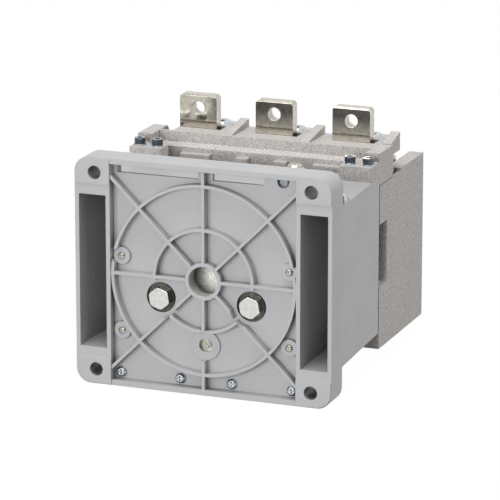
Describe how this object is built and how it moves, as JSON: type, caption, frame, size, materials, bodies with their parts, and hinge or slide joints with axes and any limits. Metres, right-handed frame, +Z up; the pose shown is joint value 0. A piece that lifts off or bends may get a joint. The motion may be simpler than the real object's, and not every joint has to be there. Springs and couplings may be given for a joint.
{
  "type": "vacuum contactor",
  "caption": "Low-voltage vacuum contactor: ribbed magnet housing with corner mounting holes, moulded pole housing, upright line terminals, rocker-driven vacuum interrupters.",
  "frame": {"origin": "centre of the four mounting holes, on the plane of the corner pads that meet the mounting plate", "axes": "-Y out of the mounting face toward the plate, +Y toward the load terminals, +Z up toward the line terminals, +X right as seen from the mounting face"},
  "size_m": [0.214, 0.272, 0.202],
  "materials": {
    "housing_plastic": "light grey moulded thermoplastic, fine satin",
    "pole_moulding": "warm grey speckled moulding compound",
    "nickel": "nickel-plated copper, warm",
    "zinc": "bright zinc-plated steel",
    "steel": "ground magnet steel",
    "copper": "soft copper",
    "winding": "taped and varnished copper winding",
    "ceramic": "glazed alumina ceramic",
    "bobbin_plastic": "natural nylon",
    "bearing_plastic": "black bearing plastic",
    "rocker_moulding": "dark brown insulating moulding",
    "spring_steel": "spring wire"
  },
  "bodies": {
    "frame": {"magnet_housing": "housing_plastic", "yoke_plate": "zinc", "magnet_core_left": "steel", "magnet_core_right": "steel", "coil_bobbin_left": "bobbin_plastic", "coil_bobbin_right": "bobbin_plastic", "coil_winding_left": "winding", "coil_winding_right": "winding", "core_bolts": "nickel", "core_washers": "zinc", "coil_bracket_left": "zinc", "coil_bracket_right": "zinc", "bracket_rivet_screws": "nickel", "yoke_screw": "nickel", "stiffener_strip": "zinc", "strip_screws": "zinc", "earth_bracket": "zinc", "earth_screw": "nickel", "coil_terminals": "nickel", "coil_terminal_screws": "zinc", "pole_housing": "pole_moulding", "back_cover": "pole_moulding", "cover_screws": "zinc", "bearing_left": "bearing_plastic", "bearing_right": "bearing_plastic", "bearing_screws": "zinc", "housing_screws": "zinc", "terminal_carrier": "pole_moulding", "clamp_bracket_left": "pole_moulding", "clamp_bracket_right": "pole_moulding", "clamp_screws": "zinc", "clamp_washers": "zinc", "line_terminal_left": "nickel", "line_terminal_middle": "nickel", "line_terminal_right": "nickel", "terminal_bolts": "zinc", "interrupter_left": "ceramic", "interrupter_middle": "ceramic", "interrupter_right": "ceramic", "fixed_end_left": "nickel", "fixed_end_middle": "nickel", "fixed_end_right": "nickel", "guide_end_left": "nickel", "guide_end_middle": "nickel", "guide_end_right": "nickel", "flexible_link_left": "copper", "flexible_link_middle": "copper", "flexible_link_right": "copper", "load_terminal_left": "nickel", "load_terminal_middle": "nickel", "load_terminal_right": "nickel", "link_screws": "zinc", "opening_springs": "spring_steel"},
    "rocker": {"rocker": "rocker_moulding", "rocker_shaft": "steel", "armature": "steel", "armature_screws": "zinc"},
    "stem_left": {"moving_stem_left": "copper"},
    "stem_middle": {"moving_stem_middle": "copper"},
    "stem_right": {"moving_stem_right": "copper"}
  },
  "joints": [
    {"name": "rocker_swing", "type": "hinge", "parent": "frame", "child": "rocker", "pos_m": [0, 0.139, -0.056], "axis": [1, 0, 0], "range_deg": [0, 2.37], "stiffness_Nm_per_rad": 12, "springref_deg": -2.86, "deforming": ["opening_springs"]},
    {"name": "stem_slide_left", "type": "slide", "parent": "frame", "child": "stem_left", "axis": [0, 0, 1], "range_m": [0, 0.003], "deforming": ["flexible_link_left"]},
    {"name": "stem_slide_middle", "type": "slide", "parent": "frame", "child": "stem_middle", "axis": [0, 0, 1], "range_m": [0, 0.003], "deforming": ["flexible_link_middle"]},
    {"name": "stem_slide_right", "type": "slide", "parent": "frame", "child": "stem_right", "axis": [0, 0, 1], "range_m": [0, 0.003], "deforming": ["flexible_link_right"]}
  ],
  "couplings": [
    {"joint": "stem_slide_left", "follows": "rocker_swing", "m_per_rad": 0.07248},
    {"joint": "stem_slide_middle", "follows": "rocker_swing", "m_per_rad": 0.07248},
    {"joint": "stem_slide_right", "follows": "rocker_swing", "m_per_rad": 0.07248}
  ]
}
